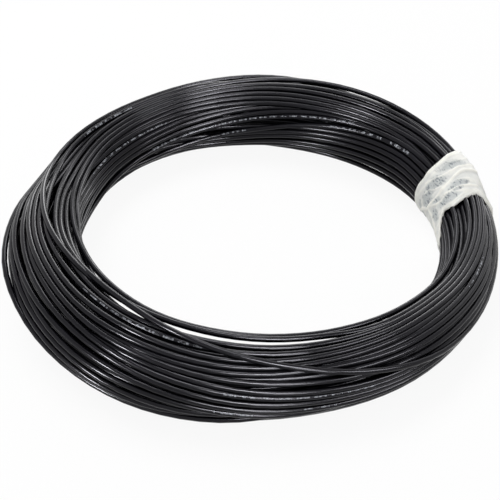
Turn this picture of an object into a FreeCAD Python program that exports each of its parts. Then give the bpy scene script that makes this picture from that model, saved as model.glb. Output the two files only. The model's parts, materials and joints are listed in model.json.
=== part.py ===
import FreeCAD, Part
import math
import os
import sys

# A loose ring of insulated single-core wire, tied once with a band of clear film.
# Millimetres. The ring lies flat: +Z is its axis, up, and the origin is the ring's centre on the
# surface that it lies on. Angles run anticlockwise from +X, seen from above, and the tie is near +X.

Vector = FreeCAD.Vector
doc = FreeCAD.newDocument("wire_ring")

# Driving dimensions
SIZES = {
    "wire_diameter": (2.4, "outside of the insulation"),
    "strand_diameter": (0.4, "one copper strand"),
    "strand_gap": (0.02, "play between a strand and what lies beside it"),
    "strand_bare": (0.6, "how far the strands stand out of the cut insulation"),
    "strand_seat": (3.0, "depth of the strands' seat in the cut end"),
    "ring_back_right": (91.0, "ring centre to bundle centre, an eighth turn past +X"),
    "ring_back_left": (90.0, "the same, a quarter turn further"),
    "ring_front_left": (92.2, "the same, half way round from the first"),
    "ring_front_right": (91.2, "the same, an eighth turn before +X"),
    "bundle_back_right": (18.0, "radius round all the turns, an eighth turn past +X"),
    "bundle_back_left": (15.4, "the same, a quarter turn further"),
    "bundle_front_left": (19.0, "the same, half way round from the first"),
    "bundle_front_right": (12.4, "the same, an eighth turn before +X"),
    "turn_count": (16, "loops of the outer layer"),
    "first_turn_angle": (-52.0, "degrees round the bundle, up from its outer side, of the first end"),
    "tail_length": (14.0, "wire that stands clear of the film at each end"),
    "winding_clearance": (0.9, "outer layer, where it runs level, to the turns inside it"),
    "film_angle": (-11.0, "degrees round the ring from +X to the middle of the tie"),
    "film_width": (36.0, "tie, along the bundle"),
    "film_wall": (0.5, "film between its folds, all layers together"),
    "film_fold": (0.6, "height of the gathered folds"),
    "film_fold_count": (4, "folds gathered round the bundle"),
    "film_clearance": (0.5, "film to the wire under it"),
}
sheet = doc.addObject("Spreadsheet::Sheet", "dimensions")
for row, (name, (value, meaning)) in enumerate(SIZES.items(), start=1):
    sheet.set("A%d" % row, name)
    sheet.set("B%d" % row, str(value))
    sheet.set("C%d" % row, meaning)
    sheet.setAlias("B%d" % row, name)
doc.recompute()


def size(name):
    return float(sheet.get(name))


# Values worked out from the driving dimensions
wire = size("wire_diameter")
wire_side = wire * math.sqrt(math.pi) / 2
wire_corner = wire_side / math.sqrt(2)
flat_depth = wire / 10
turns = int(size("turn_count"))
first_angle = math.radians(size("first_turn_angle"))
ring_mean = (size("ring_front_right") + size("ring_back_right")) / 2
film_half_angle = size("film_width") / 2 / ring_mean
tail_angle = film_half_angle + size("tail_length") / ring_mean
film_middle = math.radians(size("film_angle"))
film_inner = wire_corner + size("film_clearance")
EIGHTH = math.pi / 4
QUARTER = math.pi / 2
QUARTERS = ("back_right", "back_left", "front_left", "front_right")


def quarter(index):
    """Ring radius, radius to the outer wires' centres and height of the bundle's centre at one quarter."""
    name = QUARTERS[index % 4]
    ring = size("ring_" + name)
    bundle = size("bundle_" + name) - wire / 2
    height = bundle + wire_side / 2 - flat_depth
    if name.endswith("right"):
        height = bundle + film_inner + size("film_wall")
    return ring, bundle, height


def bundle_at(angle):
    """The same three sizes at any angle, eased between the quarters."""
    place = (angle - EIGHTH) / QUARTER
    before = math.floor(place)
    ease = (1 - math.cos(math.pi * (place - before))) / 2
    return [a + (b - a) * ease for a, b in zip(quarter(before), quarter(before + 1))]


def slots_at(index):
    """Places for turns round the bundle: one more beside the tie, where both ends lie."""
    return turns + 1 if QUARTERS[index % 4].endswith("right") else turns


def node_point(index):
    """A point of the outer layer's path, and its direction, at one quarter of a turn."""
    angle = EIGHTH + QUARTER * index
    ring, bundle, height = quarter(index)
    around = first_angle + angle / slots_at(index)
    outward = Vector(math.cos(angle), math.sin(angle), 0)
    forward = Vector(-math.sin(angle), math.cos(angle), 0)
    reach = ring + bundle * math.cos(around)
    point = outward * reach + Vector(0, 0, height + bundle * math.sin(around))
    climb = bundle / slots_at(index)
    inward = outward * (-climb * math.sin(around))
    upward = Vector(0, 0, climb * math.cos(around))
    direction = forward * reach + inward + upward
    return point, direction.normalize()


def biarc(start, start_direction, end, end_direction):
    """Two arcs that leave start and reach end in the given directions."""
    step = end - start
    both = start_direction + end_direction
    spread = 2 * (1 - start_direction.dot(end_direction))
    along = step.dot(both)
    reach = (math.sqrt(along * along + spread * step.dot(step)) - along) / spread
    corners = (start + start_direction * reach, end - end_direction * reach)
    joint = (corners[0] + corners[1]) * 0.5
    arcs = []
    for first, corner, last in ((start, corners[0], joint), (joint, corners[1], end)):
        middle = (first + last) * 0.5
        half = (last - first).Length / 2
        rise = corner - middle
        bulge = half * math.tan(math.atan2(rise.Length, half) / 2)
        arcs.append(Part.Arc(first, middle + rise.normalize() * bulge, last))
    return arcs


def part_of(arc, low_share, high_share):
    """The stretch of an arc between two shares of its length."""
    span = arc.LastParameter - arc.FirstParameter
    low = arc.FirstParameter + span * low_share
    high = arc.FirstParameter + span * high_share
    return Part.Arc(arc.value(low), arc.value((low + high) / 2), arc.value(high))


def way_at(arc, parameter):
    """An arc's direction at one of its parameters."""
    return Vector(*arc.tangent(parameter)[0])


# The outer layer's path: quarter-turn biarcs from before the tie to past it, straight at both cuts
nodes = [node_point(index) for index in range(-1, 4 * turns + 1)]
arcs = []
for (start, start_way), (end, end_way) in zip(nodes, nodes[1:]):
    arcs += biarc(start, start_way, end, end_way)
arcs[0] = part_of(arcs[0], 1 - (tail_angle - film_middle) / EIGHTH, 1)
arcs[-1] = part_of(arcs[-1], 0, (tail_angle + film_middle) / EIGHTH)
start_way = -way_at(arcs[0], arcs[0].FirstParameter)
finish_way = way_at(arcs[-1], arcs[-1].LastParameter)
start_root = arcs[0].value(arcs[0].FirstParameter)
finish_root = arcs[-1].value(arcs[-1].LastParameter)
start_cut = start_root + start_way * wire
finish_cut = finish_root + finish_way * wire
CUTS = {"start": (start_cut, start_way), "finish": (finish_cut, finish_way)}
edges = [Part.LineSegment(start_cut, start_root).toShape()]
edges += [arc.toShape() for arc in arcs]
edges += [Part.LineSegment(finish_root, finish_cut).toShape()]

path = doc.addObject("Part::Feature", "turns_path")
path.Shape = Part.Wire(edges)


def facing(axis, side):
    """The turn that takes Z along axis and X towards side."""
    return FreeCAD.Rotation(side, Vector(), axis, "ZXY")


def bound(kind, name, **sizes):
    """A primitive whose sizes are bound to the sheet."""
    thing = doc.addObject(kind, name)
    for prop, formula in sizes.items():
        thing.setExpression(prop, formula)
    return thing


# The outer layer of turns: one unbroken wire, faceted, with the same section as the round one
section = bound("Part::RegularPolygon", "turns_section",
                Circumradius="dimensions.wire_diameter * sqrt(pi / 8)")
section.Polygon = 4
upright = start_way.cross(Vector(0, 0, 1)) + Vector(0, 0, 1)
section.Placement = FreeCAD.Placement(start_cut, facing(-start_way, upright))
wound = doc.addObject("Part::Sweep", "turns_wound")
wound.Sections = [section]
wound.Spine = (path, ["Edge%d" % number for number in range(1, len(edges) + 1)])
wound.Solid = True
wound.Frenet = False
wound.Transition = "Transformed"

# The floor flattens the turns that it carries
floor_reach = max(size("ring_" + name) + size("bundle_" + name) for name in QUARTERS) * 1.2
floor = bound("Part::Box", "floor_below", Height="dimensions.wire_diameter")
floor.Length = floor.Width = 2 * floor_reach
floor.Placement = FreeCAD.Placement(Vector(-floor_reach, -floor_reach, -wire), FreeCAD.Rotation())
rested = doc.addObject("Part::Cut", "turns_rested")
rested.Base = wound
rested.Tool = floor

# Each cut end is bored for its seven strands
base = rested
for name, (cut, way) in CUTS.items():
    seat = bound("Part::Cylinder", name + "_seat", Height="dimensions.strand_seat",
                 Radius="dimensions.strand_diameter * 1.5 + dimensions.strand_gap")
    seat.Placement = FreeCAD.Placement(cut - way * size("strand_seat"), facing(way, Vector(0, 0, 1)))
    bored = doc.addObject("Part::Cut", name + "_bored")
    bored.Base = base
    bored.Tool = seat
    base = bored
wire_turns = base
wire_turns.Label = "wire_turns"

# Seven strands: one in the middle and six round it. Each shows at both cut ends
STRAND_SIDES = 8
strands = []
for number in range(7):
    stubs = []
    for name, (cut, way) in CUTS.items():
        turn = facing(way, Vector(0, 0, 1))
        beside = Vector(0, 0, 0)
        if number:
            around = math.radians(60 * number)
            beside = Vector(math.cos(around), math.sin(around), 0) * size("strand_diameter")
        stub = bound("Part::Prism", "strand_%d_%s" % (number + 1, name),
                     Height="dimensions.strand_seat + dimensions.strand_bare",
                     Circumradius="(dimensions.strand_diameter - dimensions.strand_gap) / 2")
        stub.Polygon = STRAND_SIDES
        stub.Placement = FreeCAD.Placement(cut - way * size("strand_seat") + turn.multVec(beside), turn)
        stubs.append(stub)
    strand = doc.addObject("Part::Compound", "strand_%d" % (number + 1))
    strand.Links = stubs
    strand.Label = "strand_%d" % (number + 1)
    strands.append(strand)


def ring_section(name, angle, radius, sides):
    """A polygon square to the bundle at one angle, its flats at the given radius from the bundle's centre."""
    ring, bundle, height = bundle_at(angle)
    outward = Vector(math.cos(angle), math.sin(angle), 0)
    forward = Vector(-math.sin(angle), math.cos(angle), 0)
    polygon = doc.addObject("Part::RegularPolygon", name)
    polygon.Polygon = sides
    polygon.Circumradius = radius(bundle) / math.cos(math.pi / sides)
    polygon.Placement = FreeCAD.Placement(outward * ring + Vector(0, 0, height), facing(forward, outward))
    return polygon


# The turns inside the outer layer, as one plain core
CORE_SECTIONS = 32
CORE_SIDES = 12
core = doc.addObject("Part::Loft", "inner_turns")
core.Sections = [
    ring_section(
        "core_section",
        2 * math.pi * index / CORE_SECTIONS,
        lambda bundle: (bundle - wire_corner - size("winding_clearance")) * math.cos(math.pi / CORE_SIDES),
        CORE_SIDES,
    )
    for index in range(CORE_SECTIONS)
]
core.Solid = True
core.Ruled = True
core.Closed = True
core.Label = "inner_turns"

# The tie: a sleeve of film with folds gathered round the bundle
FILM_SIDES = 16
folds = int(size("film_fold_count"))


def film_loft(name, shares, thickness):
    """A loft round the bundle, through sections at shares of the film's half width."""
    loft = doc.addObject("Part::Loft", name)
    loft.Sections = [
        ring_section(
            name + "_section",
            film_middle + film_half_angle * share,
            lambda bundle, inside=thick: bundle + film_inner + inside,
            FILM_SIDES,
        )
        for share, thick in zip(shares, thickness)
    ]
    loft.Solid = True
    loft.Ruled = True
    return loft


fold_steps = range(2 * folds + 1)
fold_shares = [step / folds - 1 for step in fold_steps]
fold_heights = [size("film_wall") + size("film_fold") * (step % 2) for step in fold_steps]
PAST_THE_EDGE = 1.05
sleeve = film_loft("film_sleeve", fold_shares, fold_heights)
BORE_STEPS = 2
bore_shares = [PAST_THE_EDGE * step / BORE_STEPS for step in range(-BORE_STEPS, BORE_STEPS + 1)]
bore = film_loft("film_bore", bore_shares, [0] * len(bore_shares))
hollow = doc.addObject("Part::Cut", "film_hollow")
hollow.Base = sleeve
hollow.Tool = bore
film = doc.addObject("Part::Cut", "binding_film")
film.Base = hollow
film.Tool = floor
film.Label = "binding_film"

doc.recompute()
pieces = [wire_turns, core, film] + strands
failed = [thing.Name for thing in doc.Objects if {"Invalid", "Error"} & set(thing.State)]
failed += [piece.Label for piece in pieces if piece.Shape.isNull() or not piece.Shape.isValid()]
if failed:
    sys.exit("these failed: " + ", ".join(failed))


def least_gap():
    """The outer layer's least gap to itself, from points along its path, corner to corner."""
    points = []
    for arc in arcs:
        span = arc.LastParameter - arc.FirstParameter
        steps = max(2, math.ceil(arc.length() / wire))
        points += [arc.value(arc.FirstParameter + span * step / steps) for step in range(steps)]
    apart = round(ring_mean * math.pi / wire)
    cells = {}
    for index, point in enumerate(points):
        cells.setdefault(tuple(math.floor(c / (3 * wire)) for c in point), []).append(index)
    least = 3 * wire
    for (x, y, z), here in cells.items():
        near = [j for dx in (-1, 0, 1) for dy in (-1, 0, 1) for dz in (-1, 0, 1)
                for j in cells.get((x + dx, y + dy, z + dz), ())]
        for i in here:
            for j in near:
                if j - i > apart:
                    least = min(least, (points[i] - points[j]).Length)
    return least - 2 * wire_corner


length = path.Shape.Length
section_area = math.pi * wire * wire / 4
print("outer layer: %.0f mm of wire in %d turns, least gap to itself %.2f mm" % (length, turns, least_gap()))
print("its volume is %.4f of its section times its length before the floor flattens it"
      % (wound.Shape.Volume / (section_area * length)))

os.makedirs("parts", exist_ok=True)
for piece in pieces:
    piece.Shape.exportStep("parts/%s.step" % piece.Label)
    box = piece.Shape.BoundBox
    print("%-14s %8.1f mm3, %d solids, x %.1f to %.1f, y %.1f to %.1f, z %.2f to %.2f"
          % (piece.Label, piece.Shape.Volume, len(piece.Shape.Solids),
             box.XMin, box.XMax, box.YMin, box.YMax, box.ZMin, box.ZMax))
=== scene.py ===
import json
import math
import bmesh
import bpy
import numpy as np
from mathutils import Matrix, Vector

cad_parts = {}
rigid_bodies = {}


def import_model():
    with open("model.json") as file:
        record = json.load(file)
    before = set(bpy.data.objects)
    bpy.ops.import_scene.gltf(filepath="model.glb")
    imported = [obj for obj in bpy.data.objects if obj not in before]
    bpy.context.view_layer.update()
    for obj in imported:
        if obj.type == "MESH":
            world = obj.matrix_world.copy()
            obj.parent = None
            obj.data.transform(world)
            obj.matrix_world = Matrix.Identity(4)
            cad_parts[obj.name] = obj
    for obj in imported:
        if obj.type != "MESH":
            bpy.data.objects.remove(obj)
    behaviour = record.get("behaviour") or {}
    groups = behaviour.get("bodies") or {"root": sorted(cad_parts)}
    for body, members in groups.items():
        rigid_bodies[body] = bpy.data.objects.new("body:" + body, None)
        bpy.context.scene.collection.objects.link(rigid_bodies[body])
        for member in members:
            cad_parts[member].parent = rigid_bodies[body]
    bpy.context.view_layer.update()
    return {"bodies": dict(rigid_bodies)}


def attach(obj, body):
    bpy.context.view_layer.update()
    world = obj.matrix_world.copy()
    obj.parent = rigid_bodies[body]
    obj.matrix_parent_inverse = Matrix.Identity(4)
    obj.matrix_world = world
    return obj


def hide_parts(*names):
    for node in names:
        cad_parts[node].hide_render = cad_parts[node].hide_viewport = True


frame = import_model()
BODY = list(frame["bodies"])[0]

# One length of black insulated wire wound in a loose ring and tied once with milky film.
# The ring lies flat with its axis on Z. Ring angles run anticlockwise from +X, and the middle of the
# tie is 11 degrees clockwise of +X. Places round the bundle run from its outer side over its top.
# Sizes are in metres, and the tables' angles are in degrees.

RING = 0.091
WIRE = 0.0024
# how much higher a wire lies that rests between two others, in wires
NEST = 0.87
TURNS = 87
PASSES = TURNS + 1
# stations of the wire in a turn, before the first turn and after the last one
STATIONS = 45
BEFORE = 4
AFTER = 1
STEP = 2 * math.pi / STATIONS
# the wire's spline runs inside the stations that guide it, at this share of their distance from the axis
SPLINE_SHARE = 0.9976
# what every draw by chance starts from
SEED = 7
# what stands in for a cost or a length, or for the distance between two stations, where it comes to nothing
TINY = 1e-9
NO_DISTANCE = 1e-7


def toward(azimuth, elevation):
    """The way from the ring to a place round it: azimuth 0 is in front, on -Y."""
    a, e = math.radians(azimuth), math.radians(elevation)
    return np.array([math.sin(a) * math.cos(e), -math.cos(a) * math.cos(e), math.sin(e)])


def smooth(x):
    """From 0 to 1 with a soft start and end."""
    x = np.clip(x, 0, 1)
    return x * x * (3 - 2 * x)


def within_half_turn(degrees):
    return (degrees + 180) % 360 - 180


# the camera: the ways to it, to its right and to its top, what it aims at and where it is
CAMERA_AZIMUTH = -24
CAMERA_ELEVATION = 38.2
CAMERA_DISTANCE = 0.5733
TO_CAMERA = toward(CAMERA_AZIMUTH, CAMERA_ELEVATION)
RIGHT = np.array([math.cos(math.radians(CAMERA_AZIMUTH)), math.sin(math.radians(CAMERA_AZIMUTH)), 0.0])
UP = np.cross(TO_CAMERA, RIGHT)
AIM = np.array([0, 0, 0.0165]) - RIGHT * 0.00223 - UP * 0.00893
CAMERA = AIM + TO_CAMERA * CAMERA_DISTANCE


def ring_radius(a):
    """How far the bundle's middle is from the axis. The ring isn't quite round."""
    return RING * (1 - 0.0074 * np.cos(2 * a) + 0.0082 * np.sin(2 * a) + 0.0021 * np.cos(3 * a)
                   - 0.0131 * np.sin(3 * a) - 0.0004 * np.cos(4 * a) - 0.0008 * np.sin(4 * a))


def bundle_radius(a):
    """Half the thickness of the bundle, and the height of its middle."""
    return RING * (0.181 - 0.0163 * np.cos(a) + 0.0061 * np.sin(a) + 0.0048 * np.cos(2 * a)
                   + 0.0262 * np.sin(2 * a) - 0.0035 * np.cos(3 * a) + 0.0025 * np.sin(3 * a)
                   + 0.0024 * np.cos(4 * a) + 0.0036 * np.sin(4 * a))


# ring angle, then where the bundle's inner and outer edge are seen, in bundle radii from its middle
OUTLINE = np.array([
    (0, -.92, 1.0), (5, -.9, 1.0), (20, -.91, 1.0), (40, -.93, 1.02), (60, -.96, 1.05), (80, -.94, 1.0),
    (95, -.91, .97), (110, -.93, 1.02), (119, -.93, 1.03), (127, -.96, .95), (133, -.99, .84),
    (140, -1.0, .88), (146, -1.01, .91), (152, -1.0, .99), (160, -.97, 1.03), (170, -.92, 1.07),
    (180, -.95, 1.06), (190, -.94, 1.0), (200, -.93, .99), (210, -.9, 1.0), (220, -.89, 1.04),
    (230, -.92, 1.06), (240, -.93, 1.08), (250, -.91, 1.05), (256, -.9, 1.0), (262, -.89, .99),
    (270, -.88, 1.03), (280, -.87, 1.07), (290, -.89, 1.05), (300, -.89, .99), (310, -.85, .99),
    (315, -.91, 1.0), (322, -.98, 1.0), (332, -.98, 1.01), (345, -.92, 1.0), (360, -.92, 1.0)])


def facing_camera(a):
    """The angle round the bundle that faces the camera, and how far the sight line leans along the ring."""
    R, r = ring_radius(a), bundle_radius(a)
    way = np.stack([CAMERA[0] - R * np.cos(a), CAMERA[1] - R * np.sin(a), CAMERA[2] - r], -1)
    way = way / np.sqrt((way ** 2).sum(-1))[..., None]
    outward = np.cos(a) * way[..., 0] + np.sin(a) * way[..., 1]
    along = np.cos(a) * way[..., 1] - np.sin(a) * way[..., 0]
    return np.arctan2(way[..., 2], outward), along / np.hypot(way[..., 2], outward)


def section(a):
    """The bundle's middle (out, up) and radius at a ring angle, and its edges as in OUTLINE."""
    deg = np.degrees(a) % 360
    inner = np.interp(deg, OUTLINE[:, 0], OUTLINE[:, 1])
    outer = np.interp(deg, OUTLINE[:, 0], OUTLINE[:, 2])
    r = bundle_radius(a)
    facing, _ = facing_camera(a)
    shift = r * (inner + outer) / 2
    edge = facing - math.pi / 2
    return (ring_radius(a) + shift * np.cos(edge), r + shift * np.sin(edge), r * (outer - inner) / 2,
            inner, outer)


# how the turns roll round the bundle: each row is one place round it at +X, followed at every 20 degrees
FLOW_AT = np.arange(0, 361, 20.0)
FLOW = np.array([
    (30, 38, 50, 62, 66, 66, 60, 58, 52, 40, 28, 14, 0, -10, -13, -10, 0, 18, 30),
    (57, 62, 71, 81, 89, 91, 94, 100, 100, 92, 84, 78, 73, 72, 75, 80, 80, 70, 57),
    (95, 104, 112, 114, 115, 117, 122, 124, 122, 114, 108, 101, 97, 96, 97, 100, 100, 96, 95),
    (115, 127, 147, 165, 178, 186, 187, 178, 165, 152, 143, 136, 131, 128, 127, 127, 124, 118, 115),
    (135, 148, 166, 182, 194, 198, 198, 190, 180, 170, 160, 152, 146, 142, 140, 138, 136, 135, 135),
    (170, 181, 194, 205, 214, 218, 218, 212, 206, 200, 194, 188, 184, 181, 179, 177, 174, 171, 170),
    (230, 234, 238, 242, 245, 246, 246, 244, 242, 240, 238, 236, 234, 232, 231, 230, 230, 230, 230),
    (290, 292, 294, 297, 300, 302, 302, 300, 296, 290, 284, 280, 276, 274, 274, 277, 281, 286, 290),
    (340, 343, 349, 356, 362, 365, 365, 362, 354, 342, 332, 322, 314, 310, 310, 315, 324, 334, 340),
    (390, 398, 410, 422, 426, 426, 420, 418, 412, 400, 388, 374, 360, 350, 347, 350, 360, 378, 390)], float)
FLOW_FIRST = FLOW[0, 0]


def flow_rows(deg):
    """The rows of FLOW at any ring angles."""
    return np.array([np.interp(deg, FLOW_AT, row) for row in FLOW])


def rolled(deg, place):
    """Degrees round the bundle at ring angle deg, for a place round it at +X."""
    rows = flow_rows(deg)
    base = (place - FLOW_FIRST) // 360 * 360
    spot = place - base
    round_ = np.array([np.interp(spot[i], FLOW[:, 0], rows[:, i]) for i in range(len(deg))])
    return round_ + base


def unrolled(deg, round_):
    """The place round the bundle at +X, for degrees round it at ring angle deg."""
    rows = flow_rows(np.array([deg]))[:, 0]
    base = math.floor((round_ - rows[0]) / 360) * 360
    return float(np.interp(round_ - base, rows, FLOW[:, 0]) + base)


# The turns that show. At points along each: ring angle, place across the face that the camera sees, from
# -1 at the inner edge to 1 at the outer one, and how many wires high it lies, if it lies on others.
# Angles and places are those at which the camera sees it. The number only names the turn.
SEEN = {
    1: ((5, -.85), (20, -.86), (40, -.88), (60, -.92)),
    2: ((5, -.68), (20, -.7), (40, -.76), (60, -.84), (75, -.9)),
    3: ((5, -.5), (20, -.55), (30, -.6), (40, -.66), (60, -.76), (80, -.86)),
    4: ((5, -.33), (20, -.4), (35, -.48), (45, -.53), (60, -.62), (80, -.76)),
    5: ((5, -.17), (20, -.24), (35, -.34), (45, -.41), (60, -.53), (75, -.66)),
    6: ((5, -.02), (20, -.1), (30, -.18), (45, -.31), (55, -.38), (66, -.46)),
    7: ((5, .16), (20, .1), (30, -.02), (42, -.16), (60, -.44), (75, -.58), (90, -.72), (105, -.84)),
    8: ((5, .24), (20, .18), (37, .09), (48, 0), (60, -.12), (70, -.22), (80, -.35), (90, -.45),
        (100, -.57), (110, -.68), (120, -.8), (135, -.93)),
    9: ((5, .27), (20, .25), (40, .2), (60, 0), (70, -.12), (80, -.24), (90, -.35), (100, -.42),
        (110, -.5), (120, -.6), (130, -.7), (140, -.8), (150, -.9)),
    10: ((60, .13), (68, .09), (80, -.03), (90, -.14), (100, -.26), (110, -.38), (120, -.47), (130, -.55),
         (140, -.62), (150, -.7), (160, -.8), (170, -.87)),
    11: ((80, .06), (90, -.04), (100, -.16), (110, -.27), (120, -.35), (130, -.45), (140, -.55),
         (150, -.63), (160, -.72)),
    12: ((80, .14), (95, .04), (105, -.05), (110, -.09), (120, -.23), (130, -.36), (136, -.46),
         (145, -.58), (155, -.7)),
    13: ((5, .37), (20, .37), (40, .34), (60, .36), (80, .35), (90, .31), (100, .24), (110, .15),
         (120, 0), (130, -.12), (140, -.3), (150, -.5)),
    14: ((5, .3), (30, .24), (57, .22), (70, .22), (80, .2), (90, .16), (100, .1), (110, .06),
         (120, -.03), (130, -.1), (140, -.2), (150, -.42), (160, -.63), (170, -.69), (180, -.7)),
    15: ((5, .46), (20, .46), (40, .45), (60, .47), (80, .44), (100, .33), (110, .24), (120, .07, .4),
         (130, -.15, .9), (140, -.45, .9), (150, -.72, .9), (160, -.85, .5), (170, -.93)),
    16: ((5, .63), (20, .66), (40, .6), (60, .62), (80, .6), (100, .44), (110, .33), (120, .2, .4),
         (130, -.03, .9), (140, -.33, .9), (150, -.6, .9), (160, -.78, .9), (170, -.88, .5), (180, -.9),
         (200, -.87), (220, -.88), (240, -.88), (260, -.86), (270, -.83), (280, -.82), (300, -.85),
         (310, -.75), (320, -.6), (330, -.42), (340, -.22), (349, -.05)),
    17: ((5, .77), (20, .79), (40, .75), (60, .71), (80, .65), (100, .55), (110, .43), (120, .3),
         (130, .15), (140, -.05), (150, -.28), (160, -.42), (170, -.58), (180, -.68), (186, -.69, .5),
         (190, -.71, .9), (195, -.765, 1), (200, -.795, 1), (206, -.8, 1), (210, -.79, 1),
         (214, -.765, 1), (218, -.72, 1), (223, -.66, 1), (230, -.585, 1), (235, -.52, 1), (240, -.45, 1),
         (250, -.26, 1), (260, 0, 1), (265, .15, 1), (270, .33, 1), (275, .43, 1), (280, .53, 1),
         (285, .65, 1), (290, .77, .9), (295, .87, .5), (300, .92, .2), (320, .98), (340, .97)),
    18: ((5, .93), (20, .95), (40, .93), (60, .87), (80, .76), (100, .71), (110, .63), (120, .5),
         (130, .38), (140, .1), (150, -.15), (160, -.33), (170, -.5), (180, -.58), (190, -.59),
         (200, -.565), (213, -.59), (225, -.63), (244, -.6), (256, -.565), (270, -.56), (280, -.55),
         (300, -.53), (310, -.4), (320, -.17), (330, .1), (340, .42), (350, .65)),
    19: ((60, .97), (80, .93), (100, .9), (120, .93), (127, .9, .3), (134, .8, .8), (137, .68, 1),
         (140, .56, 1), (146, .32, 1), (150, .14, 1), (156, -.1, 1), (160, -.22, 1), (167, -.42, 1),
         (175, -.52, 1), (185, -.61, .5), (190, -.65, .1), (195, -.71), (200, -.745), (205, -.76),
         (215, -.79), (225, -.82), (240, -.8), (250, -.78), (260, -.75), (270, -.7), (280, -.65),
         (300, -.62), (310, -.52), (320, -.33), (330, -.07), (340, .22), (350, .45)),
    20: ((80, .88), (100, .8), (115, .8), (122, .84), (128, .73), (132, .63), (135, .52), (140, .38),
         (150, .17), (160, -.07), (170, -.27), (180, -.38), (190, -.43), (200, -.46), (210, -.48),
         (220, -.49), (235, -.48), (250, -.43), (260, -.4), (270, -.4), (280, -.43), (300, -.43),
         (310, -.3), (320, -.07), (330, .25), (340, .5), (350, .75)),
    21: ((136, .6), (140, .46), (150, .28), (160, .1), (170, -.08), (180, -.18), (190, -.23), (200, -.3),
         (210, -.35), (220, -.33), (230, -.3), (240, -.27), (260, -.27), (280, -.27), (300, -.23),
         (310, -.12), (320, .05), (330, .35), (340, .63), (349, .85)),
    22: ((138, .72), (145, .53), (150, .42), (157, .27), (162, .22), (170, .06), (175, 0), (180, -.06),
         (190, -.08), (200, -.12), (210, -.17), (220, -.17), (230, -.15), (240, -.12), (260, -.14),
         (280, -.13), (300, -.13), (310, -.05), (318, .09)),
    23: ((140, .76), (150, .55), (160, .38), (170, .2), (180, .07), (190, .03), (200, .03), (210, .01),
         (220, .03), (230, .08), (240, .13), (250, .18), (260, .27), (270, .38), (280, .47), (290, .52),
         (300, .58), (310, .67), (320, .77), (331, .85), (340, .92)),
    24: ((142, .8), (150, .66), (160, .52), (170, .45), (180, .36), (190, .34), (200, .3), (210, .33),
         (220, .41), (230, .5), (240, .6), (250, .67), (260, .74), (270, .8), (280, .83), (300, .88),
         (320, .93), (340, .97)),
    25: ((145, .9), (150, .87), (160, .77), (170, .64), (180, .56), (190, .5), (200, .48), (210, .5),
         (220, .56), (230, .64), (240, .73), (250, .8), (260, .87), (270, .92), (280, .93), (300, .93)),
    26: ((165, .38), (172, .26), (180, .17), (190, .16), (200, .18), (210, .19), (220, .24), (230, .33),
         (240, .42), (250, .5), (260, .6), (270, .68), (280, .75), (300, .85)),
    27: ((212, .1), (220, .13), (230, .22), (240, .33), (250, .44), (260, .55), (270, .63), (280, .72),
         (290, .75), (300, .75), (308, .79)),
    28: ((175, .62), (185, .64), (190, .67), (200, .71), (210, .67), (220, .68), (230, .75), (240, .82),
         (250, .9), (260, .93)),
    29: ((150, .95), (155, .92), (160, .87), (165, .83), (170, .79), (180, .73), (190, .75), (200, .78),
         (210, .82), (220, .86), (235, .93)),
    30: ((148, .955, .05), (155, .99, .15), (160, 1.01, .45), (165, 1.025, .9), (170, 1.03, 1.2),
         (176, 1.03, 1.15), (182, 1.015, .75), (190, 1.0, .35), (200, 1.0, .15), (220, 1.0), (240, 1.0)),
    31: ((176, .86), (185, .87), (195, .88), (205, .9), (215, .94), (225, .97)),
    32: ((215, -.04), (240, .02), (262, -.03), (270, .02), (280, .08), (290, .12), (300, .17), (310, .28),
         (320, .43), (330, .66), (340, .87)),
    33: ((250, .1), (262, .13), (269, .18), (280, .26), (290, .32), (300, .4), (310, .52), (320, .66),
         (330, .83)),
    34: ((275, -.02), (285, 0), (300, .02), (310, .12), (320, .28), (330, .55), (340, .8)),
    35: ((285, .4), (300, .48), (310, .58), (320, .7)),
}

# a sight line is followed from this side of the bundle's middle to just past it, in small steps
SIGHT = np.arange(0.05, -0.005, -0.0002)
# a knot less than this many degrees further on than the one before is left out
KNOTS_APART = 0.5


def seen_path(knots):
    """Where a turn that shows really lies: ring angle, place round the bundle at +X, and height.

    Each knot is followed along the line of sight to the bundle's near face.
    """
    path = []
    last = None
    for seen_at, across, *height in knots:
        a = math.radians(seen_at)
        high = height[0] if height else 0.0
        R, r = float(ring_radius(a)), float(bundle_radius(a))
        outward = math.cos(a) * TO_CAMERA[0] + math.sin(a) * TO_CAMERA[1]
        edge = np.array([math.cos(a) * TO_CAMERA[2], math.sin(a) * TO_CAMERA[2], -outward])
        edge = edge / math.hypot(outward, TO_CAMERA[2])
        middle = np.array([R * math.cos(a), R * math.sin(a), r]) + edge * across * r
        way = (CAMERA - middle) / np.linalg.norm(CAMERA - middle)
        sight = middle + way * SIGHT[:, None]
        angle = np.arctan2(sight[:, 1], sight[:, 0])
        centre_out, centre_up, radius, _, _ = section(angle)
        out = np.hypot(sight[:, 0], sight[:, 1]) - centre_out
        up = sight[:, 2] - centre_up
        gap = np.hypot(out, up) - radius + WIRE / 2 - high * WIRE * NEST
        i = int(np.argmax(gap < 0)) if (gap < 0).any() else int(np.argmin(gap))
        deg = seen_at + within_half_turn(math.degrees(angle[i]) - seen_at)
        place = unrolled(deg % 360, math.degrees(math.atan2(up[i], out[i])))
        if last is not None:
            place += 360 * round((last - place) / 360)
        last = place
        path.append((deg, place, high))
    path = np.array(path)
    keep = [0]
    for i in range(1, len(path)):
        if path[keep[-1], 0] + KNOTS_APART < path[i, 0] < 360:
            keep.append(i)
    return path[keep]


# the two cut ends of the wire, the ways that they point, how much of each is straight, and the places
# round the bundle that they leave
START = np.array([0.082905, -0.052196, 0.004707])
START_WAY = np.array([-0.5286, -0.8489, -0.0092])
FINISH = np.array([0.09393, 0.018189, 0.003213])
FINISH_WAY = np.array([-0.1425, 0.9898, 0.0052])
STRAIGHT = 0.010
START_PLACE = -52
FINISH_PLACE = -78
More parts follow.
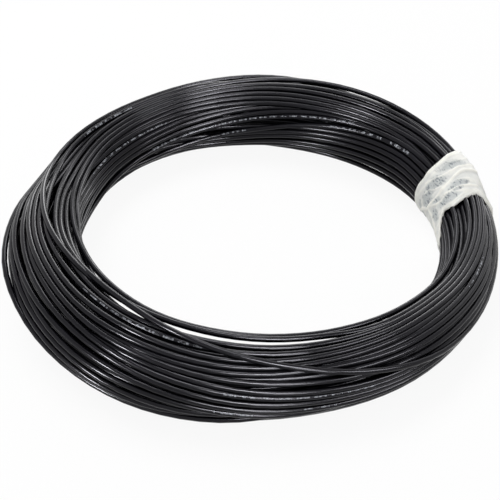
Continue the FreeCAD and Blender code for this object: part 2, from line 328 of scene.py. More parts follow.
# a turn that shows before the first of these ring angles, or after the second, lies on the surface under
# the tie, and the others at a share of its radius
SHOWS_BEFORE = 8
SHOWS_AFTER = 330
BELOW = 0.8
# what a place costs that is taken, and one that isn't allowed, where the bundle's radius costs 1
TAKEN = 9
NEVER = 99
# how much chance there is in where the turns that don't show go, and the rounds of swaps that mend it
CHANCE = 0.05
SWAP_ROUNDS = 30


def polar(place, share):
    a = np.radians(place)
    return np.stack([share * np.cos(a), share * np.sin(a)], -1)


def loops_of(after):
    """The loop that each place is in, when every place leads to another, and the number of loops."""
    mark = np.full(len(after), -1)
    count = 0
    for first in range(len(after)):
        at = first
        while mark[at] < 0:
            mark[at] = count
            at = after[at]
        count = mark.max() + 1
    return mark, count


def order_at_tie(rng, seen):
    """The order in which the wire takes its places under the tie, those places, and the turns that show.

    A turn that shows leaves from the place nearest its first knot and comes to the place nearest its
    last. Every other turn goes to a place near its own. Loops that close too soon are then joined.
    """
    k = np.arange(PASSES)
    share = np.sqrt((k + 0.5) / PASSES)
    share /= share.max()
    place = np.degrees(k * math.pi * (3 - math.sqrt(5))) % 360
    spots = polar(place, share)

    def apart(where, how_far_out):
        return np.sum((spots - polar(where, how_far_out)) ** 2, 1)

    first = int(np.argmin(apart(START_PLACE, 1.0)))
    last = int(np.argmin(apart(FINISH_PLACE, 1.0)))
    after = np.full(PASSES, -1)
    taken = np.zeros(PASSES, bool)
    after[last] = first
    taken[first] = True
    leaving = {}
    for number, path in seen.items():
        cost = apart(path[0, 1], 1.0 if path[0, 0] < SHOWS_BEFORE else BELOW) + (after >= 0) * TAKEN
        a = int(np.argmin(cost))
        cost = apart(path[-1, 1], 1.0 if path[-1, 0] > SHOWS_AFTER else BELOW) + taken * TAKEN
        before = {int(after[x]): x for x in range(PASSES) if after[x] >= 0}
        chain = a
        while chain in before:
            chain = before[chain]
        cost[[a, chain]] = NEVER
        after[a] = int(np.argmin(cost))
        taken[after[a]] = True
        leaving[a] = number

    cost = np.sqrt(((spots[:, None] - spots[None]) ** 2).sum(-1))
    cost = cost + rng.normal(0, CHANCE, (PASSES, PASSES)) ** 2
    np.fill_diagonal(cost, TAKEN)
    free = np.flatnonzero(after < 0)
    rest = list(np.flatnonzero(~taken))
    for a in free:
        after[a] = min(rest, key=lambda b: cost[a, b])
        rest.remove(after[a])
    for _ in range(SWAP_ROUNDS):
        for x, a in enumerate(free):
            for b in free[x + 1:]:
                if cost[a, after[b]] + cost[b, after[a]] < cost[a, after[a]] + cost[b, after[b]] - TINY:
                    after[a], after[b] = after[b], after[a]
    mark, count = loops_of(after)
    while count > 1:
        own = cost[free, after[free]]
        swapped = cost[free][:, after[free]]
        extra = swapped + swapped.T - own[:, None] - own[None]
        extra[mark[free][:, None] == mark[free][None]] = NEVER
        x, y = np.unravel_index(np.argmin(extra), extra.shape)
        a, b = free[x], free[y]
        after[a], after[b] = after[b], after[a]
        mark, count = loops_of(after)
    order = [first]
    while order[-1] != last:
        order.append(int(after[order[-1]]))
    return np.array(order), place, share, leaving


# the pinched bundle's radius under the tie, and the share of it that the wires' depths take up
TIE_RADIUS = 0.0112
PACKED = 0.85
# how the turns stray: times a turn, and degrees; and the depth that goes with each degree
STRAYS = ((1.3, 5.0), (2.9, 3.0))
STRAY_DEPTH = 0.00005
# how firmly a station keeps to its place, and how much more if it shows
HOLD = 0.02
SEEN_HOLD = 0.35
# how deep a turn that shows lies at least before and after, and over how many degrees it comes up
DIVE = 0.0022
SURFACING = 16
# degrees from +X over which a turn leaves its place under the tie, and over which it counts as shown
BY_TIE = 12
LET_GO = 14


def planned_turns(rng, step):
    """What every station of the wire should be like, and the turn at which each turn that shows is laid.

    The arrays are: place round the bundle at +X, depth under the surface, height above it, how firmly a
    station keeps to its place, and how far it shows.
    """
    seen = {number: seen_path(knots) for number, knots in SEEN.items()}
    order, place, share, leaving = order_at_tie(rng, seen)
    turn = np.clip(step // STATIONS, 0, TURNS - 1)
    into = step / STATIONS - turn
    ease = smooth(into)
    a, b = order[turn], order[turn + 1]
    where = place[a] + within_half_turn(place[b] - place[a]) * ease
    depth = (1 - (share[a] + (share[b] - share[a]) * ease)) * TIE_RADIUS * PACKED
    # the turns stray less in the eighth of a turn on either side of the tie
    from_tie = smooth(np.minimum(into, 1 - into) * 8)
    for often, stray in STRAYS:
        knots = rng.normal(0, 1, (int(TURNS * often) + 4, 2))
        along = (step + BEFORE) / STATIONS * often
        i = np.floor(along).astype(int)
        f = smooth(along - i)[:, None]
        drift = knots[i] * (1 - f) + knots[i + 1] * f
        where = where + drift[:, 0] * stray * from_tie
        depth = depth + drift[:, 1] * STRAY_DEPTH * stray * from_tie
    depth = np.clip(depth, 0, None)
    lift = np.zeros(len(step))
    shown = np.zeros(len(step))
    hold = np.full(len(step), HOLD)
    laid_at = {}
    for t in range(TURNS):
        number = leaving.get(int(order[t]))
        if number is None:
            continue
        laid_at[number] = t
        path = seen[number]
        own = (turn == t) & (into >= 0) & (into <= 1)
        own[np.flatnonzero(own)[-1]] = t == TURNS - 1
        d = into[own] * 360
        left = np.minimum(d, 360 - d)
        plain = where[own]
        wanted = plain + within_half_turn(np.interp(d, path[:, 0], path[:, 1]) - plain)
        where[own] = plain + (wanted - plain) * np.clip(left / BY_TIE, 0, 1)
        shows = 1 - smooth(np.maximum(path[0, 0] - d, d - path[-1, 0]) / SURFACING)
        deep = np.where(left < BY_TIE, depth[own], np.maximum(depth[own], DIVE))
        depth[own] = deep * (1 - shows)
        lift[own] = np.interp(d, path[:, 0], path[:, 2]) * WIRE * NEST
        near = np.clip(left / LET_GO, 0, 1)
        shown[own] = shows * near
        hold[own] = HOLD + SEEN_HOLD * shows * near
    return where, depth, lift, hold, shown, laid_at


# Partings where the floor shows between turns. At points along each: ring angle, then its middle and half
# its width in bundle radii, less than 0 where the turns may do as they like. Then the side that the rest
# of the bundle is on, and the bow: times the square of how far a wire stands out towards the camera, it
# is how far inwards the middle is for that wire.
PARTINGS = (
    (((187, -.785, 0), (189, -.78, .012), (192, -.775, .012), (194, -.76, -1), (197, -.68, -1),
      (198, -.67, .008), (201, -.66, .018), (207, -.67, .018), (213, -.685, .016), (216, -.70, 0),
      (221, -.73, 0), (224, -.735, .016), (230, -.715, .026), (244, -.69, .028), (256, -.66, .024),
      (262, -.655, .012), (266, -.69, .003), (271, -.74, .02), (279, -.72, .026), (285, -.7, .02),
      (289, -.68, 0)), 1, 0.0),
    (((162, .9, 0), (166, .905, .03), (169, .91, .045), (172, .91, .03), (176, .9, 0)), -1, 20.0),
)
# stations within this many degrees of a parting's ends can be moved by it
NEAR_PARTING = 14
# the settling of the wires: how many rounds, after how many the neighbours are looked up again, how near
# they are, and the share of the rounds in which the turns that don't show are drawn to their places
ROUNDS = 900
LOOK_UP = 8
NEIGHBOUR = 1.5 * WIRE
DRAWN = 0.9
# in a round, the shares of an overlap, of a bend, and of a way out of a parting or into the bundle, that a
# wire moves; how much a turn that shows gives way; and how firmly it is drawn to its place at least
PUSH = 0.75
STIFF = 0.3
CLEAR = 0.6
SEEN_GIVE = 0.2
SEEN_DRAW = 0.4
# turns that don't show keep this much lower where one that shows is near, and less as it is further off,
# from the first of these distances to the second
TUCK = 0.0019
TUCK_NEAR = 0.0020
TUCK_FAR = 0.0040


def lay():
    """The wire's stations where they come to lie, and the turn at which each turn that shows is laid.

    Every station starts at its planned place in the bundle's section, and the wires are then pushed apart
    until they lie against each other, each kept near its place, in a smooth line and inside the bundle.
    """
    step = np.arange(-BEFORE, TURNS * STATIONS + AFTER + 1)
    where, depth, lift, hold, shown, laid_at = planned_turns(np.random.default_rng(SEED), step)
    angle = step * STEP
    deg = np.degrees(angle) % 360
    centre_out, centre_up, radius, inner, outer = section(angle)
    core = radius - WIRE / 2
    around = np.radians(rolled(deg, where))
    reach = core - depth + lift
    home = np.stack([reach * np.cos(around), reach * np.sin(around)], -1)
    facing, slant = facing_camera(angle)
    to_camera = np.stack([np.cos(facing), np.sin(facing)], -1)
    across = np.stack([np.sin(facing), -np.cos(facing)], -1)
    top = shown > 0.5
    full = bundle_radius(angle)
    shift = full * (inner + outer) / 2
    along = np.degrees(slant / ring_radius(angle))

    def from_parting(spots, near, knots, bow):
        """The ring angles at which stations are seen, and how far they are from a parting's middle."""
        ahead = (spots[near] * to_camera[near]).sum(1)
        seen_at = deg[near] - ahead * along[near]
        middle = np.interp(seen_at, knots[:, 0], knots[:, 1]) * full[near] - shift[near]
        middle -= bow * ahead ** 2
        return seen_at, (spots[near] * across[near]).sum(1) - middle

    bands = []
    for knots, body, bow in PARTINGS:
        knots = np.array(knots)
        near = np.flatnonzero((deg > knots[0, 0] - NEAR_PARTING) & (deg < knots[-1, 0] + NEAR_PARTING))
        _, off = from_parting(home, near, knots, bow)
        bands.append((near, knots, bow, np.where(top[near], np.sign(off), body)))

    spots = home.copy()
    fixed = np.zeros(len(step), bool)
    for end, way, last, next_one in ((START, START_WAY, 0, 1), (FINISH, FINISH_WAY, -1, -2)):
        for i, back in ((last, 0.0), (next_one, STRAIGHT)):
            spot = end - way * back
            outward = np.array([math.cos(angle[i]), math.sin(angle[i])])
            spots[i] = (spot[:2] @ outward - centre_out[i], spot[2] - centre_up[i])
            fixed[i] = True

    # every row of the table has the stations in one section of the bundle
    table = np.full((STATIONS, PASSES + 2), -1)
    for s in range(STATIONS):
        here = np.flatnonzero(step % STATIONS == s)
        table[s, :len(here)] = here
    valid = table >= 0
    rows = np.maximum(table, 0)
    pairs = valid[:, :, None] & valid[:, None, :] & np.triu(np.ones((PASSES + 2, PASSES + 2), bool), 1)[None]

    def neighbours(spots):
        """Pairs of stations in one section that are near each other."""
        here = spots[rows]
        distance = np.sqrt(((here[:, :, None] - here[:, None]) ** 2).sum(-1))
        s, i, j = np.nonzero(pairs & (distance < NEIGHBOUR))
        return table[s, i], table[s, j]

    def furthest(spots):
        """How far out from the bundle's middle each station may lie."""
        aside = (spots * across).sum(1)[rows]
        shows = top[rows] & valid
        nearest = np.where(shows[:, None, :], np.abs(aside[:, :, None] - aside[:, None, :]), 1.0).min(2)
        beside = np.ones(len(step))
        beside[table[valid]] = nearest[valid]
        # only on the side of the bundle that faces the camera
        ahead = np.clip(((spots * to_camera).sum(1) / core + 0.1) / 0.4, 0, 1)
        under = smooth((TUCK_FAR - beside) / (TUCK_FAR - TUCK_NEAR)) * ahead * np.clip(1 - shown * 2, 0, 1)
        return core + lift - under * TUCK

    give = np.where(top, SEEN_GIVE, 1.0)
    for done in range(ROUNDS):
        if done % LOOK_UP == 0:
            one, other = neighbours(spots)
            limit = furthest(spots)
        between = spots[one] - spots[other]
        distance = np.sqrt((between ** 2).sum(1))
        over = np.clip(WIRE - distance, 0, None)
        way = between / np.maximum(distance, NO_DISTANCE)[:, None]
        total = give[one] + give[other]
        push = np.zeros_like(spots)
        np.add.at(push, one, way * (over * give[one] / total)[:, None])
        np.add.at(push, other, -way * (over * give[other] / total)[:, None])
        moved = spots + push * PUSH
        middle = moved.copy()
        middle[1:-1] = (moved[:-2] + moved[2:]) / 2
        moved += (middle - moved) * STIFF
        fade = max(0.0, 1 - done / (ROUNDS * DRAWN))
        moved += (home - moved) * (hold * np.maximum(fade, top * SEEN_DRAW))[:, None]
        for near, knots, bow, side in bands:
            seen_at, off = from_parting(moved, near, knots, bow)
            half = np.interp(seen_at, knots[:, 0], knots[:, 2], -1, -1) * full[near]
            lack = np.where(half < 0, 0, np.clip(half + WIRE / 2 - off * side, 0, None))
            moved[near] += across[near] * (lack * side * CLEAR)[:, None]
        far = np.sqrt((moved ** 2).sum(1))
        outside = far > limit
        moved[outside] *= (1 + (limit / np.maximum(far, TINY) - 1) * CLEAR)[outside, None]
        moved[:, 1] = np.maximum(moved[:, 1], WIRE / 2 - centre_up)
        moved[fixed] = spots[fixed]
        spots = moved
    out = centre_out + spots[:, 0]
    stations = np.stack([out * np.cos(angle), out * np.sin(angle), centre_up + spots[:, 1]], -1)
    stations[:, :2] /= SPLINE_SHARE
    stations[0] = START
    stations[-1] = FINISH
    return stations, laid_at


def plug(tree, slot, thing):
    """Links a value to a slot, or sets the slot to a number or colour."""
    if isinstance(thing, Value):
        tree.links.new(thing.socket, slot)
    else:
        slot.default_value = thing


def operator(operation):
    """What an operator does between a value and another one or a number."""
    return lambda value, other: value.maths(operation, value, other)


def reflected(operation):
    """The same with the number first."""
    return lambda value, other: value.maths(operation, other, value)


class Value:
    """A socket among a finish's nodes. Arithmetic on it adds the nodes that work it out."""

    def __init__(self, tree, socket):
        self.tree = tree
        self.socket = socket

    def maths(self, operation, *things):
        node = self.tree.nodes.new("ShaderNodeMath")
        node.operation = operation
        for slot, thing in zip(node.inputs, things):
            plug(self.tree, slot, thing)
        return Value(self.tree, node.outputs[0])

    __add__, __radd__ = operator("ADD"), reflected("ADD")
    __sub__, __rsub__ = operator("SUBTRACT"), reflected("SUBTRACT")
    __mul__, __rmul__ = operator("MULTIPLY"), reflected("MULTIPLY")
    __truediv__ = operator("DIVIDE")
    __pow__ = operator("POWER")
    __mod__ = operator("MODULO")
    __gt__ = operator("GREATER_THAN")
    __lt__ = operator("LESS_THAN")

    def __abs__(self):
        return self.maths("ABSOLUTE", self)


class Finish:
    """The nodes of a material, or of the world, under construction."""

    def __init__(self, owner):
        owner.use_nodes = True
        self.owner = owner
        self.tree = owner.node_tree
        self.tree.nodes.clear()

    def node(self, kind, output=0, settings=None, **sockets):
        """A new node. A socket goes by its name, or by _ and its number where several share a name."""
        made = self.tree.nodes.new(kind)
        for name, value in (settings or {}).items():
            setattr(made, name, value)
        for name, value in sockets.items():
            slot = made.inputs[int(name[1:])] if name[0] == "_" else made.inputs[name.replace("_", " ")]
            plug(self.tree, slot, value)
        return Value(self.tree, made.outputs[output])

    def place(self):
        return self.node("ShaderNodeTexCoord", "Object")

    def noise(self, place, scale, detail=2.0, roughness=0.5):
        return self.node("ShaderNodeTexNoise", Vector=place, Scale=scale, Detail=detail, Roughness=roughness)

    def ramp(self, value, low, high):
        return self.node("ShaderNodeMapRange", settings={"interpolation_type": "SMOOTHSTEP"},
                         Value=value, From_Min=low, From_Max=high)

    def mix(self, share, a, b):
        """A colour between two others: 6 and 7 are the node's colour inputs, and 2 is its colour output."""
        return self.node("ShaderNodeMix", 2, {"data_type": "RGBA"}, _0=share, _6=a, _7=b)

    def vector(self, operation, a, b=(0, 0, 0), output="Vector"):
        return self.node("ShaderNodeVectorMath", output, {"operation": operation}, _0=a, _1=b)

    def seen_ray(self):
        """1 for what is seen, in gloss and through clear things too, and 0 for what lights matt surfaces."""
        camera, gloss, clear = (self.node("ShaderNodeLightPath", "Is %s Ray" % kind)
                                for kind in ("Camera", "Glossy", "Transmission"))
        return (camera + gloss + clear) > 0.5

    def surface(self, shader, output="ShaderNodeOutputMaterial"):
        out = self.tree.nodes.new(output)
        plug(self.tree, out.inputs["Surface"], shader)
        return self.owner


# the worn strokes on the wire: the way that their row faces, the cosine of half its width, the length of
# a group of strokes and of one stroke, and the shares of them that are marked
STROKES_FACE = tuple(toward(-24, 38.2))
STROKE_ROW = 0.95
GROUP = 0.0057
GROUP_MARKED = 0.72
STROKE = 0.0013
STROKE_MARKED = 0.7


def black_insulation(runs):
    """Soft PVC, satin, with a slow waviness, fine scuffs and worn pale strokes along its upper side.

    Each run of strokes is a middle and a half length, both as shares of the wire.
    """
    f = Finish(bpy.data.materials.new("black_insulation"))
    spot = f.place()
    along = f.node("ShaderNodeSeparateXYZ", "X", Vector=f.node("ShaderNodeUVMap"))
    metres = along * LENGTH
    in_run = along * 0.0
    for middle, half in runs:
        in_run = in_run + (abs(along - middle) < half)
    # how far round from the row's middle: the wire runs square to the ring's radius
    wire_way = f.vector("NORMALIZE", f.vector("CROSS_PRODUCT", (0, 0, 1), spot))
    slant = f.vector("DOT_PRODUCT", wire_way, STROKES_FACE, "Value")
    facing = f.vector("DOT_PRODUCT", f.node("ShaderNodeNewGeometry", "Normal"), STROKES_FACE, "Value")
    row = facing / ((1.0 - slant * slant) ** 0.5) > STROKE_ROW
    group = (metres / GROUP) % 1.0
    stroke = (metres / STROKE) % 1.0
    pattern = (group < GROUP_MARKED) * (0.55 + 0.45 * (stroke < STROKE_MARKED))
    worn = f.ramp(f.noise(spot, 700.0, 2.0), 0.36, 0.62)
    mark = in_run * row * pattern * worn * 0.8
    broad = f.noise(spot, 60.0, 3.0)
    base = f.mix(f.ramp(broad, 0.35, 0.7), (0.002, 0.0019, 0.003, 1), (0.004, 0.0038, 0.0056, 1))
    colour = f.mix(mark, base, (0.42, 0.44, 0.48, 1))
    rough = 0.12 + broad * 0.12 + mark * 0.25
    bump = f.node("ShaderNodeBump", Height=f.noise(spot, 200.0, 1.0), Strength=0.08, Distance=0.0002)
    return f.surface(f.node("ShaderNodeBsdfPrincipled", Base_Color=colour, Roughness=rough, Normal=bump,
                            Specular_IOR_Level=0.19, Specular_Tint=(0.93, 0.92, 1.0, 1)))


def milky_film():
    """Thin cast film: creamy in its hems and folds, blue-grey and streaky where it clings to the wire."""
    f = Finish(bpy.data.materials.new("milky_film"))
    spot = f.place()
    lift = f.node("ShaderNodeAttribute", "Fac", {"attribute_name": "lift"})
    cling = f.node("ShaderNodeAttribute", "Fac", {"attribute_name": "cling"})
    cloud = f.noise(spot, 200.0, 3.0)
    # the streaks follow the wire, which runs nearly along Y under the tie
    streak = f.noise(f.vector("MULTIPLY", spot, (2.6, 1.0, 2.6)), 420.0, 2.0, 0.6)
    body = f.ramp(lift * 0.8 + cloud * 0.7 + streak * 0.3, 0.45, 1.15)
    cream = f.mix(body, (0.66, 0.67, 0.65, 1), (0.87, 0.86, 0.80, 1))
    close = f.ramp(cling + cloud * 0.9 + streak * 0.7 - 0.8, 0.05, 0.95)
    grey = f.mix(f.ramp(streak, 0.5, 0.64), (0.53, 0.555, 0.555, 1), (0.19, 0.215, 0.24, 1))
    colour = f.mix(close * 0.92, cream, grey)
    bump = f.node("ShaderNodeBump", Height=cloud + streak * 0.4, Strength=0.2, Distance=0.0004)
    return f.surface(f.node("ShaderNodeBsdfPrincipled", Base_Color=colour, Roughness=0.36 + cloud * 0.2,
                            Alpha=0.98 - close * 0.1, Normal=bump, Specular_IOR_Level=0.3))


def bare_copper():
    """Drawn copper, bright in some patches and a little browner in others."""
    f = Finish(bpy.data.materials.new("bare_copper"))
    spot = f.place()
    dull = f.ramp(f.noise(spot, 2500.0, 2.0), 0.35, 0.7)
    colour = f.mix(dull, (0.93, 0.50, 0.30, 1), (0.62, 0.29, 0.17, 1))
    bump = f.node("ShaderNodeBump", Height=f.noise(spot, 6000.0, 1.0), Strength=0.15, Distance=0.00005)
    return f.surface(f.node("ShaderNodeBsdfPrincipled", Base_Color=colour, Metallic=1.0,
                            Roughness=0.22 + dull * 0.2, Normal=bump))


def pale_floor():
    """White to the eye, and pale grey for the light that it throws back."""
    f = Finish(bpy.data.materials.new("pale_floor"))
    plain = f.node("ShaderNodeBsdfDiffuse", Color=(0.9, 0.9, 0.9, 1))
    bright = f.node("ShaderNodeEmission", Color=(1, 1, 1, 1), Strength=1.0)
    return f.surface(f.node("ShaderNodeMixShader", _0=f.seen_ray() * 0.92, _1=plain, _2=bright))


def studio():
    """White all round to the eye and in the gloss, and dimmer as a light."""
    f = Finish(bpy.data.worlds.new("studio"))
    lit = f.node("ShaderNodeBackground", Color=(1, 1, 1, 1), Strength=0.6 + f.seen_ray() * 0.4)
    return f.surface(lit, "ShaderNodeOutputWorld")


def mesh_from(bm, name):
    mesh = bpy.data.meshes.new(name)
    bm.to_mesh(mesh)
    bm.free()
    return mesh


def link(name, data):
    piece = bpy.data.objects.new(name, data)
    bpy.context.scene.collection.objects.link(piece)
    return piece


def settle(piece, material, slot, *nodes):
    """A finished piece rides on the part's body and stands for its nodes."""
    piece.data.materials.clear()
    piece.data.materials.append(material)
    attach(piece, BODY)
    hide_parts(*nodes)
    return piece


# The wire
points, laid_at = lay()
LENGTH = float(np.sqrt((np.diff(points, axis=0) ** 2).sum(1)).sum())
# worn strokes: the turn's number in SEEN, and the ring angles at which a run is seen to start and end
RUNS = ((7, 14, 22), (7, 25, 43), (7, 69, 77), (8, 36, 102), (12, 95, 137), (20, 101, 118), (20, 167, 233),
        (14, 152, 164), (26, 238, 274), (28, 234, 243), (25, 254, 263), (34, 317, 330))


def stroke_runs():
    """The middle and half length of each run of strokes, as shares of the wire."""
    runs = []
    for number, first, last in RUNS:
        really_at = seen_path(SEEN[number])[:, 0]
        seen_at = [knot[0] for knot in SEEN[number]][:len(really_at)]
        ends = np.interp((first, last), seen_at, really_at) / 360 + laid_at[number]
        shares = (BEFORE + ends * STATIONS) / (len(points) - 1)
        runs.append((float(shares.mean()), float(shares[1] - shares[0]) / 2))
    return runs


def wire_curve():
    """A round cord through the stations, in steps and sides that keep it under 200,000 triangles."""
    curve = bpy.data.curves.new("wire", "CURVE")
    curve.dimensions = "3D"
    spline = curve.splines.new("NURBS")
    spline.points.add(len(points) - 1)
    spline.points.foreach_set("co", np.c_[points, np.ones(len(points))].ravel())
    spline.order_u = 3
    spline.use_endpoint_u = True
    spline.resolution_u = 2
    curve.resolution_u = 2
    curve.twist_mode = "MINIMUM"
    curve.bevel_depth = WIRE / 2
    curve.bevel_resolution = 4
    curve.use_fill_caps = True
    return curve


wire = link("wire", wire_curve())
settle(wire, black_insulation(stroke_runs()), "insulation", "wire_turns", "inner_turns")

# Seven copper strands show at each cut end: one in the middle and six round it
STRAND = 0.0004
STRAND_RADIUS = STRAND * 0.48
STRAND_SIDES = 20
TIP_BEVEL = STRAND * 0.1
SHOWN = 0.0006
SEAT = 0.003


def strand_mesh(number):
    """One strand: a short stub in each cut end of the wire, with its tip bevelled."""
    bm = bmesh.new()
    for spot, way in ((START, START_WAY), (FINISH, FINISH_WAY)):
        spot = Vector(spot)
        way = Vector(way).normalized()
        turn = way.to_track_quat("Z", "Y").to_matrix()
        around = math.radians(60 * number)
        beside = Vector((math.cos(around), math.sin(around), 0)) * STRAND if number else Vector()
        middle = spot + way * (SHOWN - SEAT) / 2 + turn @ beside
        stub = bmesh.ops.create_cone(bm, cap_ends=True, segments=STRAND_SIDES, radius1=STRAND_RADIUS,
                                     radius2=STRAND_RADIUS, depth=SEAT + SHOWN,
                                     matrix=Matrix.Translation(middle) @ turn.to_4x4())
        tip = [v for v in stub["verts"] if (v.co - spot).dot(way) > 0]
        rim = [e for e in {e for v in tip for e in v.link_edges} if all(v in tip for v in e.verts)]
        bmesh.ops.bevel(bm, geom=rim, offset=TIP_BEVEL, offset_type="OFFSET", affect="EDGES",
                        segments=3, profile=0.5, material=-1)
    mesh = mesh_from(bm, "copper_%d" % (number + 1))
    mesh.shade_smooth()
    return mesh


copper = bare_copper()
for number in range(7):
    strand = link("copper_%d" % (number + 1), strand_mesh(number))
    settle(strand, copper, "copper", "strand_%d" % (number + 1))

# The tie: film wrapped a little over twice round the bundle and crumpled
WRAPS = 2.25
ROUND_STEPS = 190
ACROSS_STEPS = 44
FILM_START = -150.0
FILM_LENGTH = 0.212
FILM_WALL = 0.00006
# up to this many wraps the film is a little wider, so that its edges show under the last ones
UNDER = 1.2
# millimetres in a degree along the ring, and in a degree round the pinched bundle
MM_ALONG = 1.6
MM_ROUND = 0.27
# degrees round the bundle, then the ring angles of the film's near and far edge
FILM_EDGES = np.array([
    (-60, -19, 0.5), (-20, -18, 1.0), (12, -17, 1.5), (42, -16.6, 1.2), (54, -16, 0.5), (66, -15.5, -0.4),
    (82, -16.5, -1.4), (102, -18, -2.5), (120, -19.5, -3), (142, -18.8, -3.8), (147, -20, -3.8),
    (158, -21.8, -3.6), (170, -26, -3.5), (182, -28, -3.5), (200, -27.5, -3.5), (230, -24, -2.5),
    (260, -20.5, -0.5), (300, -19, 0.5)])
# creases: how high, how wide in millimetres, then ring angle and degrees round the bundle along each
CREASES = (
    (0.9, 1.0, ((-12, 172), (-13, 154), (-13, 138), (-12, 122), (-11, 108), (-8.5, 84), (-8, 72), (-8, 50))),
    (0.8, 0.8, ((-12.5, 170), (-15, 150), (-15.6, 138), (-14.4, 122), (-13.8, 104), (-13.6, 88),
                (-13.4, 60))),
    (0.6, 0.8, ((-8, 160), (-8.4, 150), (-10, 140), (-11.6, 122), (-11.4, 108), (-11, 96), (-11, 70))),
    (0.7, 0.9, ((-6, 146), (-7, 132), (-7.6, 114), (-7.4, 94), (-6.6, 78), (-5.8, 48))),
    (0.5, 0.8, ((-5, 124), (-5, 108), (-4, 90), (-4, 70), (-2, 42))),
    (0.9, 1.2, ((-12, 175), (-10, 182), (-8, 192), (-6, 205))),
    (0.8, 1.2, ((-13, 172), (-17, 174), (-22, 178), (-26, 182))),
)
# patches where the film clings to the wire: ring angle, degrees round, and half their width both ways
PATCHES = (
    (-5, 88, 1.5, 28), (-8.5, 132, 2.0, 26), (-12, 92, 1.6, 16), (-10, 162, 2.6, 17), (-13.6, 146, 1.2, 10),
    (-16.4, 124, 1.8, 24), (-13.5, 102, 1.2, 14), (-17.5, 163, 2.6, 10), (-6, 250, 1.5, 34),
    (-18, 262, 1.8, 26), (-12, 300, 1.6, 30), (-5, 12, 1.2, 34), (-10.5, -5, 1.3, 26), (-14, 22, 1.2, 22),
    (-7, 205, 1.2, 26))


def patch_cling(deg, place):
    """How closely the film lies on the wire at ring angles and degrees round the bundle."""
    cling = np.zeros(deg.shape)
    for middle, round_, half, half_round in PATCHES:
        apart = within_half_turn(place - round_)
        far = ((deg - middle) / half) ** 2 + (apart / half_round) ** 2
        cling = np.maximum(cling, np.clip(1.25 - far * 0.75, 0, 1))
    return cling


def crease_lift(deg, place):
    """Height of the creases, from 0 to 1, at ring angles and degrees round the bundle."""
    lift = np.zeros(deg.shape)
    spot = np.stack([deg * MM_ALONG, place * MM_ROUND], -1)
    for height, wide, knots in CREASES:
        line = np.array(knots) * (MM_ALONG, MM_ROUND)
        nearest = np.full(deg.shape, np.inf)
        for a, b in zip(line, line[1:]):
            along = np.clip(((spot - a) @ (b - a)) / ((b - a) @ (b - a)), 0, 1)
            nearest = np.minimum(nearest, np.hypot(*(spot - a - along[:, None] * (b - a)).T))
        lift = np.maximum(lift, height * np.exp(-(nearest / wide / 0.8) ** 2))
    return lift


def wires_at(deg):
    """Where every pass of the wire crosses the section at a ring angle near the tie: out and up."""
    angle = np.degrees(np.unwrap(np.arctan2(points[:, 1], points[:, 0])))
    crossing = []
    for k in range(PASSES):
        want = deg + 360.0 * k
        if angle[0] < want < angle[-1]:
            i = int(np.searchsorted(angle, want)) - 1
            share = (want - angle[i]) / (angle[i + 1] - angle[i])
            p = points[i] * (1 - share) + points[i + 1] * share
            crossing.append((math.hypot(p[0], p[1]), p[2]))
    return np.array(crossing)


def stretched_round(deg, place):
    """The middle of the wires at ring angles, and how far from it film pulled tight round them lies."""
    sections = np.linspace(-32, 6, 20)
    ways = np.radians(np.arange(0, 360, 5))
    fans = np.stack([np.cos(ways), np.sin(ways)], -1)
    middles = []
    hulls = []
    for at in sections:
        wires = wires_at(at)
        middle = (wires.min(0) + wires.max(0)) / 2
        middles.append(middle)
        hulls.append(((wires - middle) @ fans.T).max(0) + WIRE / 2)
    middles, hulls = np.array(middles), np.array(hulls)
    index = (deg - sections[0]) / (sections[1] - sections[0])
    i = np.clip(index.astype(int), 0, len(sections) - 2)
    share = (index - i)[:, None]
    middle = middles[i] * (1 - share) + middles[i + 1] * share
    hull = hulls[i] * (1 - share) + hulls[i + 1] * share
    gap = (np.radians(place)[:, None] - ways[None] + math.pi) % (2 * math.pi) - math.pi
    gap = np.where(np.abs(gap) < 1.2, gap, 1.2)
    return middle, (hull / np.cos(gap)).min(1)


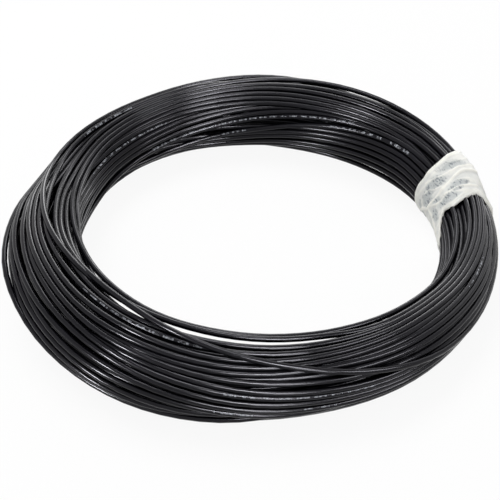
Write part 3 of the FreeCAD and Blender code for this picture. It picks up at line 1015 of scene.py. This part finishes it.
def film_mesh():
    """The strip of film in its place, and its area. Its points carry how high and how close they lie."""
    bm = bmesh.new()
    bmesh.ops.create_grid(bm, x_segments=int(WRAPS * ROUND_STEPS), y_segments=ACROSS_STEPS, size=0.5)
    bm.verts.ensure_lookup_table()
    grid = np.array([v.co[:2] for v in bm.verts]) + 0.5
    turned = FILM_START + grid[:, 0] * WRAPS * 360
    place = (turned + 60) % 360 - 60
    across = grid[:, 1] * 2 - 1
    near = np.interp(place, FILM_EDGES[:, 0], FILM_EDGES[:, 1])
    far = np.interp(place, FILM_EDGES[:, 0], FILM_EDGES[:, 2])
    layer = grid[:, 0] * WRAPS
    near = near + 0.25 * np.sin(turned * 0.043 + 1.0) - 0.5 * (layer < UNDER)
    far = far + 0.25 * np.sin(turned * 0.037) + 0.4 * (layer < UNDER)
    deg = near + (far - near) * (across + 1) / 2
    # broad soft waves under the creases, more of them on the side away from the pinch
    fan = (deg + 12) / (1 + 0.010 * np.abs(place - 150))
    wave = 0.5 + 0.5 * np.sin(fan * 2.6 + 0.9 * np.sin(turned * 0.031))
    ripple = 0.5 + 0.5 * np.sin(fan * 5.3 - turned * 0.045 + 2)
    dents = 0.5 + 0.5 * np.sin(turned * 0.11 + deg * 0.7) * np.sin(turned * 0.047 - deg * 0.45)
    crease = crease_lift(deg, place)
    from_edge = np.minimum(deg - near, far - deg) * MM_ALONG
    hem = np.exp(-(np.clip(from_edge - 0.9, 0, None) / 0.9) ** 2)
    lift = np.maximum(crease, 0.25 * wave + 0.12 * ripple + 0.1 * dents)
    lift = np.maximum(lift, hem * 0.6)
    rolled_edge = np.clip(1 - from_edge / 0.5, 0, 1) ** 2
    # on the outer side above the middle it is slack and stands off the wire
    slack = np.exp(-((place - 52) / 24) ** 2 - ((deg + 6) / 6) ** 2)
    stand = 0.0002 + layer * 0.0002 + 0.0008 * lift * (1 - 0.8 * rolled_edge) + 0.0016 * slack
    # its near edge is drawn in between the outermost wires
    drawn_in = np.exp(-(np.clip(deg - near, 0, None) * MM_ALONG / 1.1) ** 2)
    stand = stand - 0.0007 * drawn_in
    middle, tight = stretched_round(deg, place)
    reach = tight + stand
    around = np.radians(place)
    out = middle[:, 0] + reach * np.cos(around)
    up = np.maximum(middle[:, 1] + reach * np.sin(around), 0.0002 + 0.0001 * layer)
    turn = np.radians(deg)
    for v, x, y, z in zip(bm.verts, out * np.cos(turn), out * np.sin(turn), up):
        v.co = (x, y, z)
    bmesh.ops.recalc_face_normals(bm, faces=bm.faces)
    area = sum(face.calc_area() for face in bm.faces)
    mesh = mesh_from(bm, "tie_film")
    cling = patch_cling(deg, place) * (1 - np.clip(crease * 0.9, 0, 1)) * (1 - hem)
    mesh.attributes.new("lift", "FLOAT", "POINT").data.foreach_set("value", lift)
    mesh.attributes.new("cling", "FLOAT", "POINT").data.foreach_set("value", cling)
    mesh.shade_smooth()
    return mesh, area


mesh, film_area = film_mesh()
film = link("tie_film", mesh)
wall = film.modifiers.new("wall", "SOLIDIFY")
wall.thickness = FILM_WALL
wall.offset = 0
settle(film, milky_film(), "film", "binding_film")
FILM_FLAT = (film_area / FILM_LENGTH, FILM_LENGTH)

# Floor, light and camera
FLOOR = 3
bm = bmesh.new()
bmesh.ops.create_grid(bm, x_segments=1, y_segments=1, size=FLOOR)
floor = link("floor", mesh_from(bm, "floor"))
floor.data.materials.append(pale_floor())

scene = bpy.context.scene
scene.world = studio()

# a lamp that only matt surfaces see: its place, width, height and watts
SOFT_KEY = ((-0.25, 0.45, 1.1), 0.9, 0.6, 8.5)
# lamps a metre off that only the gloss shows, as streaks: ring angle, elevation, width, height and watts
STREAKS = (
    (66, 88, 0.3, 0.25, 4.6), (193, 15, 0.12, 0.25, 10.5), (268, 15, 0.3, 0.25, 6.6),
    (253, 42, 0.3, 0.25, 9.0), (270, 42, 0.3, 0.25, 9.5), (308, 35, 0.45, 0.2, 6.5),
    (30, 25, 0.9, 0.7, 2.2), (30, 15, 0.25, 0.2, 1.3), (66, 15, 0.3, 0.25, 1.6), (66, 42, 0.3, 0.25, 1.6))


def lamp(name, place, wide, high, watts):
    """A square-edged lamp that faces the ring."""
    data = bpy.data.lights.new(name, "AREA")
    data.shape = "RECTANGLE"
    data.size = wide
    data.size_y = high
    data.energy = watts
    holder = link(name, data)
    holder.location = place
    holder.rotation_euler = (-Vector(place)).to_track_quat("-Z", "Y").to_euler()
    return holder


lamp("soft_key", *SOFT_KEY).visible_glossy = False
for number, (turned, height, wide, high, watts) in enumerate(STREAKS):
    a, e = math.radians(turned), math.radians(height)
    place = (math.cos(e) * math.cos(a), math.cos(e) * math.sin(a), math.sin(e))
    lamp("streak_%d" % (number + 1), place, wide, high, watts).visible_diffuse = False

lens = bpy.data.cameras.new("camera")
lens.lens = 96.14
lens.sensor_width = 36
camera = link("camera", lens)
camera.matrix_world = Matrix.Translation(CAMERA) @ Matrix((RIGHT, UP, TO_CAMERA)).transposed().to_4x4()
scene.camera = camera
scene.view_settings.view_transform = "Standard"

bpy.context.view_layer.update()
